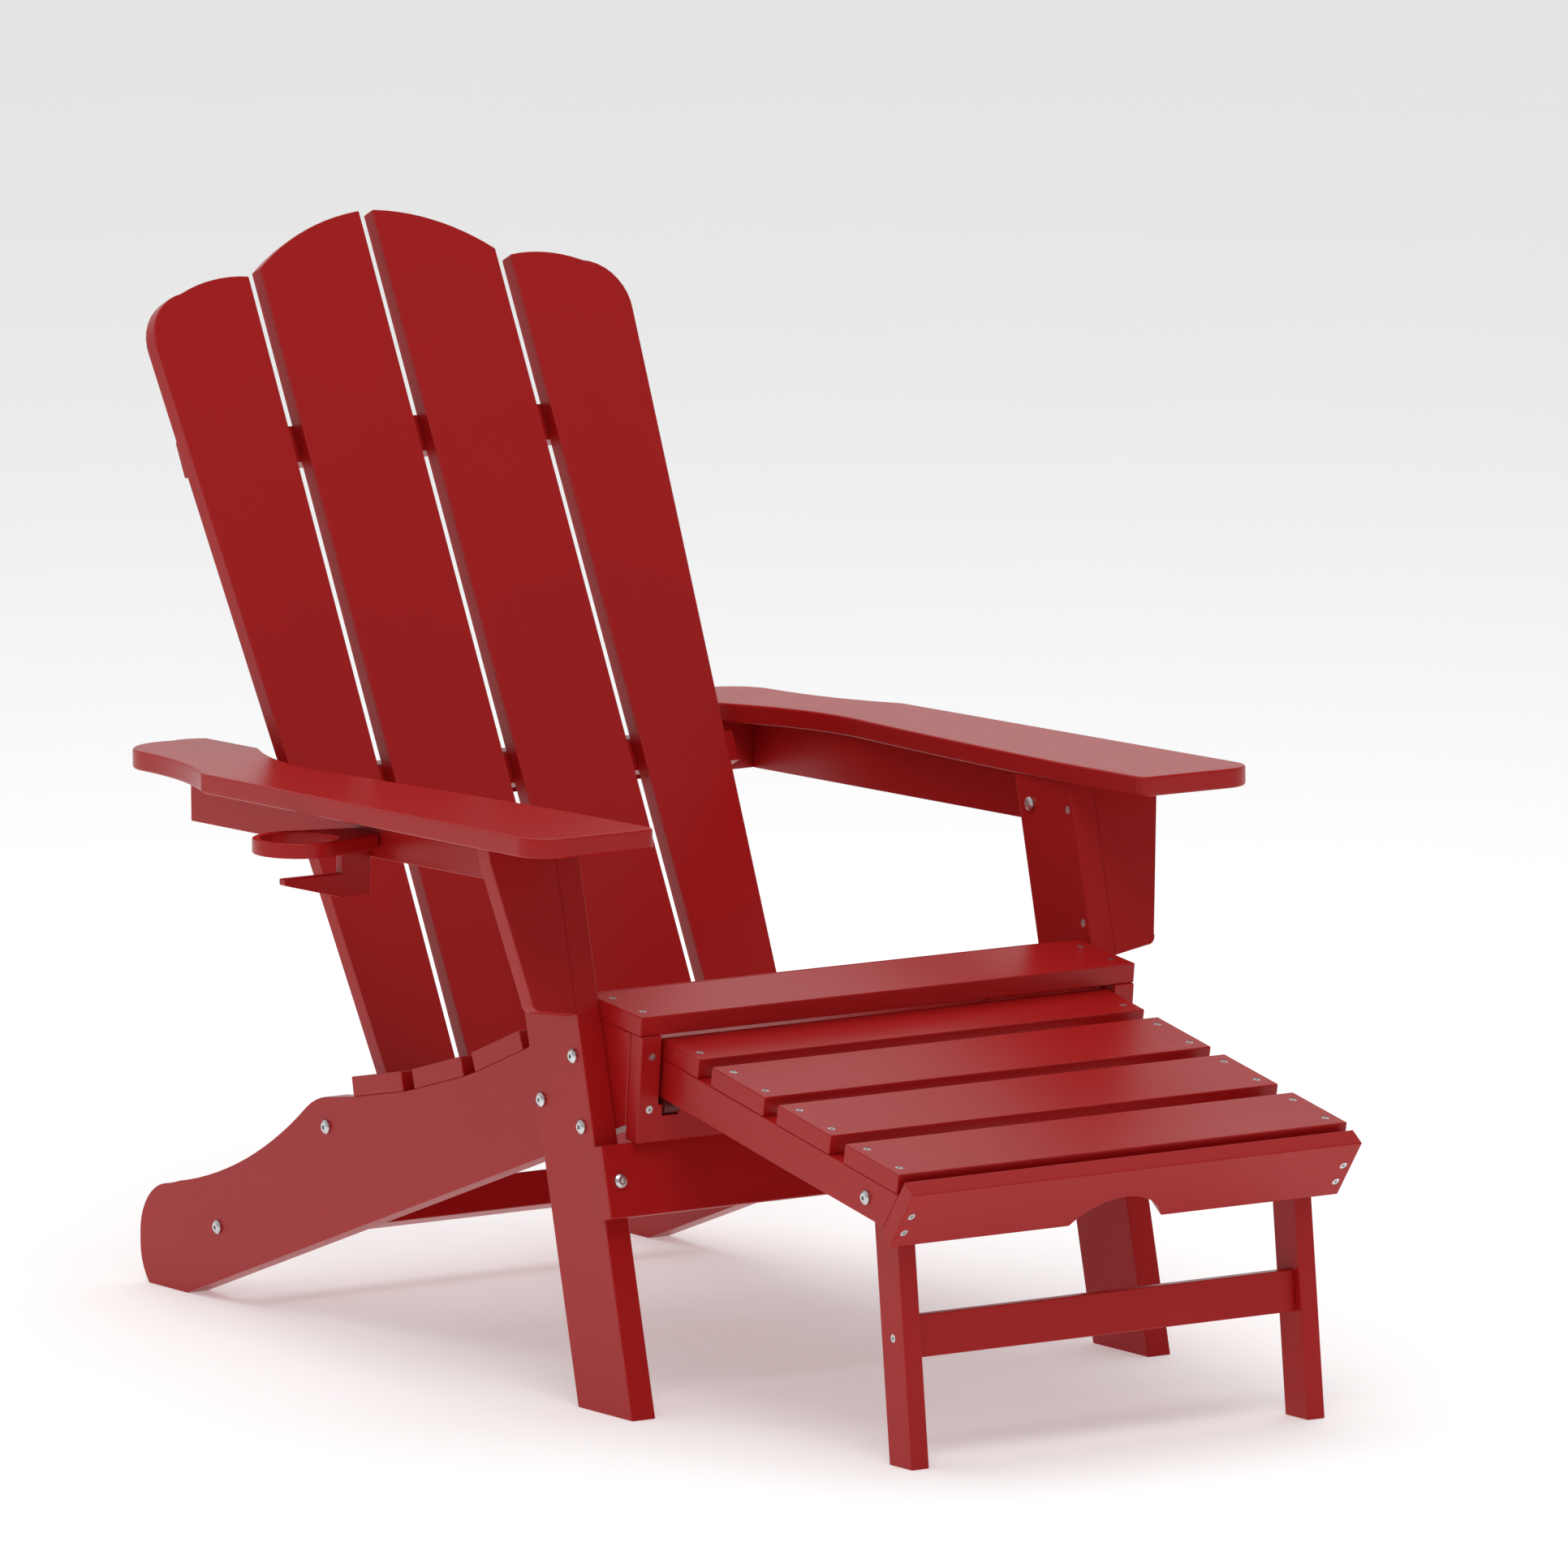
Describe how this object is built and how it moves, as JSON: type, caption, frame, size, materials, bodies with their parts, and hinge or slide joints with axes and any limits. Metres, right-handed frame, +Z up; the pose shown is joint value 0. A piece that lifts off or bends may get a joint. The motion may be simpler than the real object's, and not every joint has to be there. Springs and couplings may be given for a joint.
{
  "type": "adirondack chair",
  "caption": "Reclined slatted garden chair with wide flat arms, a fan-topped back, a cup ring under one arm and a slatted ottoman that slides under the seat.",
  "frame": {"origin": "on the floor, under the middle of the whole chair's box with the ottoman pulled out", "axes": "+Z up, +Y to the rear, the ottoman points to -Y, and the cup holder is on the -X side"},
  "size_m": [0.8332, 1.2724, 0.9904],
  "materials": {
    "red_board": "satin solid-coloured recycled plastic board",
    "stainless": "satin",
    "nylon": "satin"
  },
  "bodies": {
    "chair": {"side_rail_left": "red_board", "side_rail_right": "red_board", "front_leg_left": "red_board", "front_leg_right": "red_board", "arm_bracket_left": "red_board", "arm_bracket_right": "red_board", "arm_left": "red_board", "arm_right": "red_board", "arm_rail_left": "red_board", "arm_rail_right": "red_board", "rear_cross_rail": "red_board", "front_seat_plank": "red_board", "seat_slat_1": "red_board", "seat_slat_2": "red_board", "seat_slat_3": "red_board", "seat_slat_4": "red_board", "apron": "red_board", "front_stretcher": "red_board", "rear_stretcher": "red_board", "rear_seat_rail": "red_board", "back_slat_outer_left": "red_board", "back_slat_inner_left": "red_board", "back_slat_inner_right": "red_board", "back_slat_outer_right": "red_board", "upper_back_batten": "red_board", "lower_back_batten": "red_board", "cup_ring_plate": "red_board", "cup_support_bracket": "red_board", "leg_bolts": "stainless", "rear_frame_bolts": "stainless", "seat_screws": "stainless", "apron_screws": "stainless", "arm_screws": "stainless", "back_screws": "stainless", "cup_screws": "stainless", "roller_pins": "stainless"},
    "rollers": {"glide_rollers": "nylon"},
    "ottoman": {"ottoman_rail_left": "red_board", "ottoman_rail_right": "red_board", "ottoman_slat_1": "red_board", "ottoman_slat_2": "red_board", "ottoman_slat_3": "red_board", "ottoman_slat_4": "red_board", "handle_panel": "red_board", "ottoman_stop_blocks": "red_board", "ottoman_screws": "stainless", "leg_pivot_bolts": "stainless"},
    "ottoman_legs": {"ottoman_leg_left": "red_board", "ottoman_leg_right": "red_board", "leg_stretcher": "red_board", "leg_stretcher_screws": "stainless"}
  },
  "joints": [
    {"name": "ottoman_tilt", "type": "hinge", "parent": "chair", "child": "rollers", "pos_m": [0.01804, -0.23556, 0.27937], "axis": [1, 0, 0], "range_deg": [-22, 0]},
    {"name": "ottoman_slide", "type": "slide", "parent": "rollers", "child": "ottoman", "axis": [0, 0.9821, 0.1885], "range_m": [0, 0.16]},
    {"name": "leg_fold", "type": "hinge", "parent": "ottoman", "child": "ottoman_legs", "pos_m": [0.01804, -0.56236, 0.24242], "axis": [1, 0, 0], "range_deg": [0, 106.5]}
  ],
  "couplings": [
    {"joint": "ottoman_tilt", "follows": "ottoman_slide", "rad_per_m": -2.3998}
  ]
}
